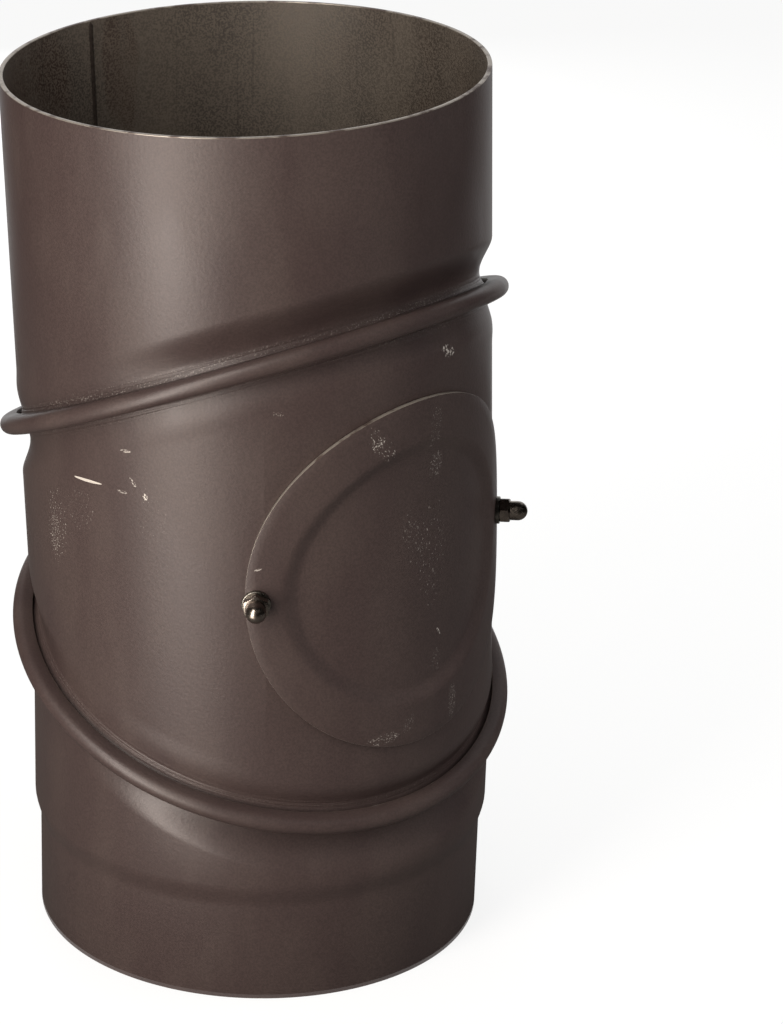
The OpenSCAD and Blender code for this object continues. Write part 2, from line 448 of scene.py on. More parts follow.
@dataclass(frozen=True)
class Weave:
    """Short way to the node patterns that the finishes share, on one tree's coordinates."""

    tree: bpy.types.NodeTree
    coords: bpy.types.NodeSocket

    def grain(self, size: float, detail: float = 2.0, stretch: Sequence[float] = (1, 1, 1)) -> Value:
        """Returns a cloudy noise whose grains have a real size.

        Args:
            size: Size of a grain in metres.
            detail: How many finer layers the noise has.
            stretch: How much finer the grain is along each axis.
        """
        turned = add_node(self.tree, "Mapping", {"Vector": self.coords, "Scale": stretch})
        noise = add_node(
            self.tree, "TexNoise", {"Vector": turned.outputs[0], "Scale": 1 / size, "Detail": detail}
        )
        return noise.outputs["Factor" if "Factor" in noise.outputs else "Fac"]

    def spread(self, value: Value, low: float, high: float, to_low: float, to_high: float) -> Value:
        """Returns a value stretched from one range to another, smoothly and clamped."""
        return add_node(
            self.tree, "MapRange",
            {"Value": value, "From Min": low, "From Max": high, "To Min": to_low, "To Max": to_high},
            interpolation_type="SMOOTHSTEP",
        ).outputs["Result"]

    def blend(self, share: Value, first: Value, second: Value, mode: str = "MIX") -> Value:
        """Returns two colours mixed by a share."""
        return add_node(
            self.tree, "Mix",
            {"Factor": share, MixPort.FIRST.value: first, MixPort.SECOND.value: second},
            data_type="RGBA", blend_type=mode,
        ).outputs[MixPort.RESULT.value]

    def sum_up(self, operation: str, first: Value, second: Value) -> Value:
        """Returns the result of one sum on two values."""
        return add_node(self.tree, "Math", {0: first, 1: second}, operation=operation).outputs[0]

    def relief(self, height: Value, depth: float, under: Value | None = None) -> Value:
        """Returns a bumped normal.

        Args:
            height: The height pattern, from 0 to 1.
            depth: What a height of 1 stands for, in metres.
            under: Another normal that this one lies on.
        """
        inputs = {"Height": height, "Distance": depth}
        if under is not None:
            inputs["Normal"] = under
        return add_node(self.tree, "Bump", inputs).outputs["Normal"]


@dataclass(frozen=True)
class Mark:
    """A scuff, scratch, heat tint or patch of painted shade on a rolled sheet: where it lies, how big it is
    and how it shows.

    The turn runs round the sheet's axis from its front and the slant rises from level, both
    in degrees. The strength is the share of the paint that is worn, or of the tint or painted
    shade laid on, where the mark is worst.
    """

    turn: float
    height: float
    slant: float
    length: float
    breadth: float
    strength: float
    grain: float
    grain_stretch: float = 1.0
    cover: float = 0.5
    fade: float = 0.12

    def frame(self, place: Matrix, radius: float) -> Matrix:
        """Returns the mark's frame: X along it, Y across it and Z out of the sheet."""
        return (
            place
            @ Matrix.Rotation(math.radians(self.turn), 4, "Z")
            @ Matrix.Translation((0, -radius, self.height))
            @ Matrix.Rotation(math.radians(90), 4, "X")
            @ Matrix.Rotation(math.radians(self.slant), 4, "Z")
        )

    def share(self, weave: Weave, place: Matrix, radius: float) -> Value:
        """Returns how much of the surface the mark has worn, tinted or painted with shade, from 0 to 1.

        Args:
            weave: The patterns of the paint's tree.
            place: Matrix from the sheet's frame to the part's.
            radius: Radius of the sheet's outer face.
        """
        frame_here = self.frame(place, radius)
        spot = add_node(
            weave.tree, "Mapping",
            {
                "Vector": weave.coords,
                "Location": frame_here.translation,
                "Rotation": frame_here.to_euler(),
            },
            vector_type="TEXTURE",
        ).outputs[0]
        reach = (2 / self.length, 2 / self.breadth, 1 / (self.length + self.breadth))
        local = add_node(weave.tree, "VectorMath", {0: spot, 1: reach}, operation="MULTIPLY").outputs[0]
        distance = add_node(weave.tree, "VectorMath", {0: local}, operation="LENGTH").outputs["Value"]
        inside = weave.spread(distance, 0.3, 1.0, 1.0, 0.0)
        flecks = Weave(weave.tree, spot).grain(self.grain, 3.0, (1 / self.grain_stretch, 1, 1))
        # The flecks thin out towards the mark's border
        needed = weave.spread(inside, 0.0, 1.0, 1.0, 1 - self.cover)
        worn = weave.sum_up("SUBTRACT", flecks, needed)
        return weave.spread(worn, 0.0, self.fade, 0.0, self.strength)


# Handling marks as the photo shows them: one long scratch with a patch of fine specks at the
# left, a smudge over the cover, and scuffs that run down the cover's right half
MIDDLE_MARKS = (
    Mark(-82.9, 113.3 * MM, 3, 26 * MM, 2 * MM, 0.95, 2 * MM, 6.0, 0.9),
    Mark(-96.0, 86 * MM, 84, 70 * MM, 30 * MM, 0.6, 0.8 * MM, 1.0, 0.4),
    Mark(-97.0, 82 * MM, 84, 36 * MM, 14 * MM, 0.6, 0.7 * MM, 1.0, 0.44),
    Mark(-86.0, 99 * MM, 70, 40 * MM, 34 * MM, 0.3, 0.8 * MM, 1.0, 0.39),
    Mark(-71.3, 131.2 * MM, 4, 10 * MM, 2.6 * MM, 0.6, 0.8 * MM, 2.0, 0.56),
    Mark(-69.5, 117.7 * MM, -50, 10 * MM, 4 * MM, 0.7, 0.7 * MM, 1.5, 0.5),
    Mark(-66.5, 112.4 * MM, -60, 6 * MM, 5 * MM, 0.9, 0.8 * MM, 1.0, 0.54),
    Mark(-72.7, 112.6 * MM, 0, 10 * MM, 3 * MM, 0.5, 0.7 * MM, 2.0, 0.52),
    Mark(-65.0, 104 * MM, 80, 60 * MM, 30 * MM, 0.25, 0.7 * MM, 1.0, 0.36),
    Mark(11.8, 161.7 * MM, -20, 16 * MM, 10 * MM, 0.75, 1.2 * MM, 1.0, 0.52),
    Mark(-34.7, 151.1 * MM, 0, 9 * MM, 6 * MM, 0.4, 0.7 * MM, 1.0, 0.46),
)
COVER_MARKS = (
    Mark(-10.3, 131.4 * MM, -58, 40 * MM, 16 * MM, 0.65, 0.7 * MM, 2.5, 0.42),
    Mark(-11.5, 132.5 * MM, 30, 13 * MM, 7 * MM, 0.8, 0.7 * MM, 1.5, 0.5),
    Mark(5.3, 132 * MM, 82, 40 * MM, 14 * MM, 0.45, 0.7 * MM, 1.0, 0.41),
    Mark(6.9, 113.7 * MM, 70, 24 * MM, 16 * MM, 0.5, 0.7 * MM, 1.0, 0.44),
    Mark(5.5, 76 * MM, 86, 100 * MM, 34 * MM, 0.5, 0.8 * MM, 1.5, 0.38),
    Mark(-1.0, 84 * MM, 100, 54 * MM, 22 * MM, 0.4, 0.7 * MM, 1.5, 0.4),
    Mark(7.6, 36.8 * MM, -60, 9 * MM, 3 * MM, 0.9, 0.8 * MM, 2.0, 0.56),
    Mark(6.4, 23.4 * MM, 80, 24 * MM, 12 * MM, 0.45, 0.7 * MM, 1.0, 0.41),
    Mark(10.5, 3 * MM, 85, 30 * MM, 10 * MM, 0.55, 0.7 * MM, 1.0, 0.45),
    Mark(-4.1, 1.8 * MM, 60, 18 * MM, 10 * MM, 0.45, 0.7 * MM, 1.0, 0.43),
    Mark(-11.2, -2 * MM, 0, 30 * MM, 10 * MM, 0.5, 0.7 * MM, 1.5, 0.45),
    Mark(-40.2, 84.4 * MM, 20, 6 * MM, 1.8 * MM, 0.6, 0.8 * MM, 2.0, 0.6),
)
# Brown tint that the heat of welding left beside the seam inside the top section, and a
# broad dark patch of painted shade on the seam's other side, where the key light does not reach the inner
# wall
WELD_TINT_AND_SHADE = (
    Mark(174.0, 105 * MM, 90, 110 * MM, 34 * MM, 0.55, 12 * MM, 3.0, 0.75, 0.3),
    # Painted shade: a broad dark patch on the inner wall on the left of the seam
    Mark(210.0, 105 * MM, 90, 190 * MM, 120 * MM, 0.7, 16 * MM, 2.0, 0.85, 0.4),
)


@dataclass(frozen=True)
class RollMarks:
    """Fine lines that the beading rolls left round the neck beside a bead, a little worn."""

    frame: Matrix
    strength: float
    neck_r: float = 102 * MM
    foot_r: float = 103.5 * MM
    low: float = 5 * MM
    high: float = 9 * MM
    line_size: float = 1.3 * MM
    # The lines run right round, so their pattern hardly changes across the joint
    along: float = 0.015
    fleck_size: float = 0.7 * MM

    def shares(self, weave: Weave) -> tuple[Value, Value]:
        """Returns the height of the lines and how much they are worn, both from 0 to 1."""
        local = add_node(
            weave.tree, "Mapping",
            {
                "Vector": weave.coords,
                "Location": self.frame.translation,
                "Rotation": self.frame.to_euler(),
            },
            vector_type="TEXTURE",
        ).outputs[0]
        level = add_node(weave.tree, "SeparateXYZ", {0: local}).outputs["Z"]
        height = add_node(weave.tree, "Math", {0: level}, operation="ABSOLUTE").outputs[0]
        flat = add_node(weave.tree, "VectorMath", {0: local, 1: (1, 1, 0)}, operation="MULTIPLY")
        reach = add_node(weave.tree, "VectorMath", {0: flat.outputs[0]}, operation="LENGTH")
        on_neck = weave.spread(reach.outputs["Value"], self.neck_r, self.foot_r, 1.0, 0.0)
        near = weave.sum_up("MULTIPLY", on_neck, weave.spread(height, self.low, self.high, 1.0, 0.0))
        lines = Weave(weave.tree, local).grain(self.line_size, 2.0, (self.along, self.along, 1))
        ridges = weave.sum_up("MULTIPLY", near, weave.spread(lines, 0.35, 0.65, 0.0, 1.0))
        flecks = weave.spread(weave.grain(self.fleck_size, 3.0), 0.56, 0.66, 0.0, self.strength)
        return ridges, weave.sum_up("MULTIPLY", ridges, flecks)


@dataclass(frozen=True)
class Finish(ABC):
    """A surface finish that makes its own procedural material."""

    name: str

    @abstractmethod
    def sockets(self, weave: Weave) -> dict[str, Value]:
        """Returns what each socket of the shader gets."""

    def material(self) -> bpy.types.Material:
        """Returns a new material with this finish."""
        material = bpy.data.materials.new(self.name)
        material.use_nodes = True
        tree = material.node_tree
        shader = tree.nodes["Principled BSDF"]
        coords = add_node(tree, "TexCoord").outputs["Object"]
        for key, value in self.sockets(Weave(tree, coords)).items():
            if isinstance(value, bpy.types.NodeSocket):
                tree.links.new(value, shader.inputs[key])
            else:
                shader.inputs[key].default_value = value
        return material


@dataclass(frozen=True)
class StovePaint(Finish):
    """Heat-resistant stove paint, sprayed on sheet steel and baked.

    Dark brown with fine metal flakes gives a satin sheen, with soft clouds from the spray gun.
    Handling leaves pale scuffs and scratches.
    """

    marks: tuple[Mark, ...] = ()
    roll_marks: tuple[RollMarks, ...] = ()
    place: Matrix | None = None
    radius: float = 102 * MM
    brown: str = "#3C302E"
    worn_brown: str = "#413532"
    scuff: str = "#B9B1A8"
    metallic: float = 0.1
    roughness: float = 0.45
    cloud_size: float = 30 * MM
    # A flake is far finer than a pixel, so it is drawn as coarse as it needs to show
    flake_size: float = 0.9 * MM
    orange_peel_size: float = 1.6 * MM
    orange_peel_depth: float = 0.07 * MM
    roll_mark_depth: float = 0.2 * MM

    def sockets(self, weave: Weave) -> dict[str, Value]:
        """Returns the paint with its clouds, flakes and marks."""
        cloud = weave.spread(weave.grain(self.cloud_size, 3.0, (1, 1, 0.4)), 0.35, 0.65, 0.0, 1.0)
        flakes = weave.grain(self.flake_size, 1.0)
        tone = weave.blend(cloud, linear(self.brown), linear(self.worn_brown))
        shade = weave.spread(flakes, 0.3, 0.7, 0.88, 1.12)
        grey = add_node(weave.tree, "CombineColor", {0: shade, 1: shade, 2: shade}).outputs[0]
        colour = weave.blend(1.0, tone, grey, "MULTIPLY")
        gloss = weave.spread(cloud, 0.0, 1.0, self.roughness - 0.03, self.roughness + 0.03)
        skin = weave.relief(weave.grain(self.orange_peel_size, 2.0), self.orange_peel_depth)
        worn = [mark.share(weave, self.place, self.radius) for mark in self.marks]
        for marks in self.roll_marks:
            ridges, rubbed = marks.shares(weave)
            skin = weave.relief(ridges, self.roll_mark_depth, skin)
            worn.append(rubbed)
        for share in worn:
            colour = weave.blend(share, colour, linear(self.scuff))
        return {
            "Base Color": colour,
            "Metallic": self.metallic,
            "Roughness": gloss,
            "Normal": skin,
        }


@dataclass(frozen=True)
class FlueInside(Finish):
    """Inside of the pipe: thin overspray on hot-rolled steel, with scale and faintly rusted patches.

    It looks greyish brown and finely speckled, with soft cloudy patches and a few dark
    hairlines along the way the sheet was rolled. A heat tint beside the seam and a broad
    patch of painted shade on the seam's other side are laid on in rust brown.
    """

    tints_and_shade: tuple[Mark, ...] = ()
    place: Matrix | None = None
    radius: float = 100 * MM
    dark: str = "#241F1C"
    pale: str = "#695F54"
    # Rust brown, also laid on as the heat tint and as a broad patch of painted shade
    rust_and_shade: str = "#36251C"
    metallic: float = 0.35
    speckle_size: float = 0.9 * MM
    cloud_size: float = 26 * MM
    patch_size: float = 60 * MM
    hairline_size: float = 4 * MM

    def sockets(self, weave: Weave) -> dict[str, Value]:
        """Returns the scaled steel with its speckles, clouds, rust and hairlines."""
        clouds = weave.spread(weave.grain(self.cloud_size, 3.0, (1, 1, 0.45)), 0.3, 0.7, 0.25, 0.5)
        patches = weave.spread(weave.grain(self.patch_size, 2.0), 0.45, 0.65, 0.0, 0.3)
        speckles = weave.spread(weave.grain(self.speckle_size, 2.0), 0.36, 0.64, 0.0, 1.0)
        hairlines = weave.spread(weave.grain(self.hairline_size, 2.0, (1, 1, 0.02)), 0.67, 0.7, 0.0, 0.22)
        ground = weave.blend(clouds, linear(self.dark), linear(self.pale))
        stained_and_shaded = weave.blend(patches, ground, linear(self.rust_and_shade))
        # Heat tint beside the seam, and a broad patch of painted shade on the inner wall
        for dark_patch in self.tints_and_shade:
            stained_and_shaded = weave.blend(dark_patch.share(weave, self.place, self.radius), stained_and_shaded, linear(self.rust_and_shade))
        scaled = weave.blend(weave.spread(speckles, 0.0, 1.0, 0.0, 0.5), stained_and_shaded, linear(self.pale))
        return {
            "Base Color": weave.blend(hairlines, scaled, linear(self.dark)),
            "Metallic": self.metallic,
            "Roughness": weave.spread(speckles, 0.0, 1.0, 0.5, 0.64),
            "Normal": weave.relief(speckles, 0.03 * MM),
        }


@dataclass(frozen=True)
class WornEdge(Finish):
    """Cut edge of the sheet, where handling has rubbed the paint through to bare steel."""

    steel: str = "#8F877E"
    paint: str = "#5A4D47"
    patch_size: float = 9 * MM
    bare: float = 0.55

    def sockets(self, weave: Weave) -> dict[str, Value]:
        """Returns bare steel with patches of paint left on it."""
        patches = weave.grain(self.patch_size, 4.0)
        left = weave.spread(patches, self.bare - 0.08, self.bare + 0.08, 0.0, 1.0)
        return {
            "Base Color": weave.blend(left, linear(self.steel), linear(self.paint)),
            "Metallic": 0.5,
            "Roughness": weave.spread(left, 0.0, 1.0, 0.36, 0.45),
            "Normal": weave.relief(patches, 0.05 * MM),
        }


@dataclass(frozen=True)
class WeldSeam(Finish):
    """Butt weld along the sheet: rippled steel under burnt paint, nearly black."""

    dark: str = "#211B18"
    pale: str = "#4B413A"
    ripple_size: float = 1.5 * MM

    def sockets(self, weave: Weave) -> dict[str, Value]:
        """Returns the oxide with its ripples."""
        ripples = weave.grain(self.ripple_size, 2.0)
        return {
            "Base Color": weave.blend(ripples, linear(self.dark), linear(self.pale)),
            "Metallic": 0.5,
            "Roughness": weave.spread(ripples, 0.3, 0.7, 0.4, 0.6),
            "Normal": weave.relief(ripples, 0.12 * MM),
        }


@dataclass(frozen=True)
class NickelPlate(Finish):
    """Satin nickel plating on a turned cap nut: warm and softly shining, with faint smears."""

    bright: str = "#8E857D"
    smeared: str = "#766E68"
    smear_size: float = 3 * MM

    def sockets(self, weave: Weave) -> dict[str, Value]:
        """Returns the plating with its smears."""
        smears = weave.spread(weave.grain(self.smear_size, 3.0), 0.4, 0.7, 0.0, 1.0)
        return {
            "Base Color": weave.blend(smears, linear(self.bright), linear(self.smeared)),
            "Metallic": 1.0,
            "Roughness": weave.spread(smears, 0.0, 1.0, 0.26, 0.38),
            "Normal": weave.relief(smears, 0.004 * MM),
        }


@dataclass(frozen=True)
class ZincPlate(Finish):
    """Bright zinc plating on stamped and cold-formed steel: pale, with a dull cloudy bloom."""

    bright: str = "#8E8A83"
    bloom: str = "#6F6B65"
    bloom_size: float = 2.5 * MM

    def sockets(self, weave: Weave) -> dict[str, Value]:
        """Returns the plating with its bloom."""
        bloom = weave.spread(weave.grain(self.bloom_size, 3.0), 0.38, 0.66, 0.0, 1.0)
        return {
            "Base Color": weave.blend(bloom, linear(self.bright), linear(self.bloom)),
            "Metallic": 1.0,
            "Roughness": weave.spread(bloom, 0.0, 1.0, 0.26, 0.46),
            "Normal": weave.relief(bloom, 0.006 * MM),
        }


# Sheet sections


@dataclass(frozen=True)
class SlantedJoint:
    """Rings of a sheet about one slanted joint, in the frame of its pipe section."""

    sizes: PipeSizes
    height: float
    tip: float
    course: Course

    @property
    def centre(self) -> Vector:
        """Centre of the joint on the section's axis."""
        return Vector((0, 0, self.height))

    @property
    def normal(self) -> Vector:
        """Direction of the joint's own axis."""
        return Vector((0, -math.sin(self.tip), math.cos(self.tip)))

    @property
    def frame(self) -> Matrix:
        """Matrix from the joint's own frame, with its axis as Z, to the section's."""
        return Matrix.Translation(self.centre) @ Matrix.Rotation(self.tip, 4, "X")

    def round_ring(self, radius: float, level: float) -> Ring:
        """Returns a round ring at a level over the joint's plane."""
        return Ring(self.centre + self.normal * level, radius, radius, self.tip)

    def round_arc(self, radius: float, level: float, bend: float, angles: Sequence[float]) -> list[Ring]:
        """Returns the rings of a bend.

        Args:
            radius: Distance of the bend's centre from the joint's axis.
            level: Height of the bend's centre over the joint.
            bend: Radius of the bend itself.
            angles: Where the rings lie on the bend, in radians.
        """
        return [
            self.round_ring(radius + bend * math.cos(angle), level + bend * math.sin(angle))
            for angle in angles
        ]

    def neck_ring(self, level: float) -> Ring:
        """Returns the ring where the round neck runs over into the slanted pipe."""
        sizes = self.sizes
        share = ease((abs(level) - sizes.collar_z) / (sizes.neck_length - sizes.collar_z))
        on_pipe = Vector((0, 0, level / math.cos(self.tip)))
        centre = self.centre + (self.normal * level).lerp(on_pipe, share)
        half_y = sizes.outer_r * (1 + share * (1 / math.cos(self.tip) - 1))
        return Ring(centre, sizes.outer_r, half_y, self.tip)

    def neck(self) -> list[Ring]:
        """Returns the rings of the neck, from the joint towards the pipe."""
        low, high = self.sizes.collar_z, self.sizes.neck_length
        shares = [step / self.sizes.neck_steps for step in range(self.sizes.neck_steps + 1)]
        return [self.neck_ring(self.course.value * (low + (high - low) * share)) for share in shares]

    def bead(self) -> list[Ring]:
        """Returns the bead's outer skin, from the neck out, round and back to its lip."""
        sizes = self.sizes
        foot = (sizes.outer_r + sizes.bend_r, -sizes.fold_r - sizes.bend_r)
        turn = self.round_arc(*foot, sizes.bend_r, arc(180, 90, sizes.bend_steps))
        fold = self.round_arc(sizes.bead_r, 0, sizes.fold_r, arc(-90, 90, sizes.bead_steps))
        return turn + fold + [self.round_ring(sizes.lip_r, sizes.fold_r)]

    def flange(self) -> list[Ring]:
        """Returns the flange's upper skin, from its tip in to the flared foot of the neck."""
        sizes = self.sizes
        foot = (sizes.outer_r + sizes.flare_r, sizes.flange_top + sizes.flare_r)
        turn = self.round_arc(*foot, sizes.flare_r, arc(270, 184, sizes.flare_steps))
        return [self.round_ring(sizes.bead_r, sizes.flange_top)] + turn


@dataclass(frozen=True)
class Seam:
    """Lengthwise weld of a section, which follows one face of its sheet."""

    turn: float
    path: tuple[Vector, ...]
    painted: bool
    breadth: float = 2.4 * MM
    proud: float = 0.35 * MM
    ripple: float = 0.12
    pitch: float = 3 * MM
    sides: int = 12

    def height(self, share: float) -> float:
        """Returns the height at a share of the path, from its lower end to its upper."""
        return self.path[0].z + (self.path[-1].z - self.path[0].z) * share

    def point(self, height: float) -> Vector:
        """Returns the point of the path at a height, with the seam turned to the front."""
        for low, high in zip(self.path, self.path[1:]):
            if height <= high.z or high is self.path[-1]:
                share = (height - low.z) / (high.z - low.z)
                return Matrix.Rotation(-self.turn, 3, "Z") @ low.lerp(high, share)
        return self.path[-1]

    def draw(self, name: str) -> bpy.types.Object:
        """Returns the weld as a low rippled bar, in the section's frame."""
        count = round((self.path[-1].z - self.path[0].z) / self.pitch * 2)
        rings = []
        for step in range(count + 1):
            swell = 1 + self.ripple * (-1) ** step
            taper = 0.15 if step in (0, count) else 1.0
            centre = self.point(self.height(step / count))
            rings.append(Ring(centre, self.breadth / 2 * swell * taper, self.proud * swell * taper))
        bar = draw_rings(name, rings, self.sides)
        bpy.ops.object.mode_set(mode="EDIT")
        bpy.ops.mesh.select_all(action="DESELECT")
        bpy.ops.mesh.select_non_manifold()
        bpy.ops.mesh.edge_face_add()
        face_outwards()
        bpy.ops.object.mode_set(mode="OBJECT")
        put_in_place(bar, Matrix.Rotation(self.turn, 4, "Z"))
        return bar


@dataclass(frozen=True)
class SheetSection(ABC):
    """One rolled and welded sheet section, drawn about its own axis."""

    sizes: PipeSizes
    place: Place
    length: float
    cut: float
    marks: tuple[Mark, ...] = ()
    tints_and_shade: tuple[Mark, ...] = ()
    edge_bare: float = 0.55
    rubbed: float = 0.12
    node: str = ""
    body: Body = Body.BOTTOM

    @property
    @abstractmethod
    def joints(self) -> list[SlantedJoint]:
        """The section's slanted joints, from the lowest up."""

    @abstractmethod
    def rings(self) -> list[Ring]:
        """Returns the stations of the outer skin, from the lower edge to the upper."""

    @abstractmethod
    def seams(self) -> list[Seam]:
        """Returns the welds that show."""

    def seam_along(self, turn: float, rings: Sequence[Ring], depth: float, painted: bool) -> Seam:
        """Returns the seam along some of the section's rings.

        Args:
            turn: Where the seam lies round the section, in radians from its front.
            rings: The stations that it runs over, in order.
            depth: How far under the outer face it lies.
            painted: True if the stove paint covers it.
        """
        path = []
        for ring in rings:
            out = Vector((math.sin(turn) * (ring.half_x - depth), -math.cos(turn) * (ring.half_y - depth), 0))
            path.append(ring.centre + Matrix.Rotation(ring.tip, 3, "X") @ out)
        return Seam(turn, tuple(path), painted)

    def open_up(self, sheet: bpy.types.Object) -> None:
        """Cuts the section's openings. A plain section has none."""

    def build(self) -> None:
        """Draws the sheet and its welds and hangs them on the section's body."""
        sheet = draw_rings(f"{self.node}_sheet", self.rings(), self.sizes.sides)
        face_away_from_axis(sheet)
        self.dress(sheet)
        apply_modifier(
            sheet, "SOLIDIFY", thickness=self.sizes.wall, offset=-1, use_even_offset=True,
            material_offset=SheetFace.INSIDE.value, material_offset_rim=SheetFace.CUT_EDGE.value,
        )
        self.open_up(sheet)
        round_edges(sheet, self.sizes.edge_round)
        mount(sheet, self.place.matrix(), self.body, Slot.PAINT, [self.node])
        for number, seam in enumerate(self.seams(), 1):
            bar = seam.draw(f"{self.node}_weld_{number}")
            bare = WeldSeam(f"weld_{self.body.value}_{number}")
            bar.data.materials.append(sheet.data.materials[0] if seam.painted else bare.material())
            mount(bar, self.place.matrix(), self.body, Slot.PAINT)

    def dress(self, sheet: bpy.types.Object) -> None:
        """Gives the sheet its three finishes, in the order of its faces."""
        place = self.place.matrix()
        rolled = tuple(RollMarks(place @ joint.frame, self.rubbed) for joint in self.joints)
        finishes = (
            StovePaint(f"stove_paint_{self.body.value}", self.marks, rolled, place),
            FlueInside(f"flue_inside_{self.body.value}", self.tints_and_shade, place),
            WornEdge(f"worn_edge_{self.body.value}", bare=self.edge_bare),
        )
        for finish in finishes:
            sheet.data.materials.append(finish.material())


@dataclass(frozen=True)
class BottomSection(SheetSection):
    """Lower section: spigot, shoulder, pipe, slanted neck and bead."""

    node: str = "bottom_section"
    body: Body = Body.BOTTOM
    edge_bare: float = 0.35
    spigot_r: float = 99.5 * MM
    spigot_length: float = 44 * MM
    shoulder_length: float = 12 * MM
    shoulder_steps: int = 8
    seam_turn: float = math.radians(168)

    @property
    def joints(self) -> list[SlantedJoint]:
        """The slanted joint at the upper end."""
        return [SlantedJoint(self.sizes, self.length, self.cut, Course.DOWN)]

    def shoulder(self) -> list[Ring]:
        """Returns the stations of the soft step from the spigot to the pipe."""
        shares = [step / self.shoulder_steps for step in range(self.shoulder_steps + 1)]
        swell = self.sizes.outer_r - self.spigot_r
        return [
            level_ring(self.spigot_r + swell * ease(share), self.spigot_length + self.shoulder_length * share)
            for share in shares
        ]

    def rings(self) -> list[Ring]:
        """Returns the stations from the spigot's edge to the bead's lip."""
        joint = self.joints[0]
        spigot = level_ring(self.spigot_r, 0)
        return [spigot] + self.shoulder() + joint.neck()[::-1] + joint.bead()

    def seams(self) -> list[Seam]:
        """Returns the painted weld up the back, from the spigot to the bead."""
        path = [level_ring(self.spigot_r, 2 * MM)] + self.shoulder() + self.joints[0].neck()[::-1]
        return [self.seam_along(self.seam_turn, path, 0.0, True)]


@dataclass(frozen=True)
class MiddleSection(SheetSection):
    """Middle section: flange, two slanted necks, bead and cleaning hole."""

    node: str = "middle_section"
    body: Body = Body.MIDDLE
    marks: tuple[Mark, ...] = MIDDLE_MARKS
    hole_r: float = 63 * MM
    seam_turn: float = math.radians(186)

    @property
    def joints(self) -> list[SlantedJoint]:
        """The slanted joints at both ends."""
        return [
            SlantedJoint(self.sizes, 0, self.cut, Course.UP),
            SlantedJoint(self.sizes, self.length, -self.cut, Course.DOWN),
        ]

    def rings(self) -> list[Ring]:
        """Returns the stations from the flange to the upper bead's lip."""
        lower, upper = self.joints
        return lower.flange() + lower.neck() + upper.neck()[::-1] + upper.bead()

    def seams(self) -> list[Seam]:
        """Returns the painted weld up the short side, from bead to bead."""
        lower, upper = self.joints
        path = lower.neck()[2:] + upper.neck()[::-1]
        return [self.seam_along(self.seam_turn, path, 0.0, True)]

    def open_up(self, sheet: bpy.types.Object) -> None:
        """Cuts the round cleaning hole in the long side."""
        deselect_everything()
        bpy.ops.mesh.primitive_cylinder_add(
            vertices=self.sizes.sides, radius=self.hole_r, depth=self.sizes.outer_r,
            location=(0, -self.sizes.outer_r, self.length / 2), rotation=(math.pi / 2, 0, 0),
        )
        combine(sheet, name_piece("hole_punch"), "DIFFERENCE")


@dataclass(frozen=True)
class TopSection(SheetSection):
    """Top section: flange, slanted neck and the open socket."""

    node: str = "top_section"
    body: Body = Body.TOP
    tints_and_shade: tuple[Mark, ...] = WELD_TINT_AND_SHADE
    rubbed: float = 0.35
    seam_turn: float = math.radians(182.4)

    @property
    def joints(self) -> list[SlantedJoint]:
        """The slanted joint at the lower end."""
        return [SlantedJoint(self.sizes, 0, -self.cut, Course.UP)]

    def rings(self) -> list[Ring]:
        """Returns the stations from the flange to the open rim."""
        joint = self.joints[0]
        return joint.flange() + joint.neck() + [level_ring(self.sizes.outer_r, self.length)]

    def seams(self) -> list[Seam]:
        """Returns the weld's two faces: bare inside the open end and painted outside."""
        path = self.joints[0].neck()[2:] + [level_ring(self.sizes.outer_r, self.length - 0.6 * MM)]
        return [
            self.seam_along(self.seam_turn, path[-2:], self.sizes.wall, False),
            self.seam_along(self.seam_turn, path, 0.0, True),
        ]


# Cleaning cover


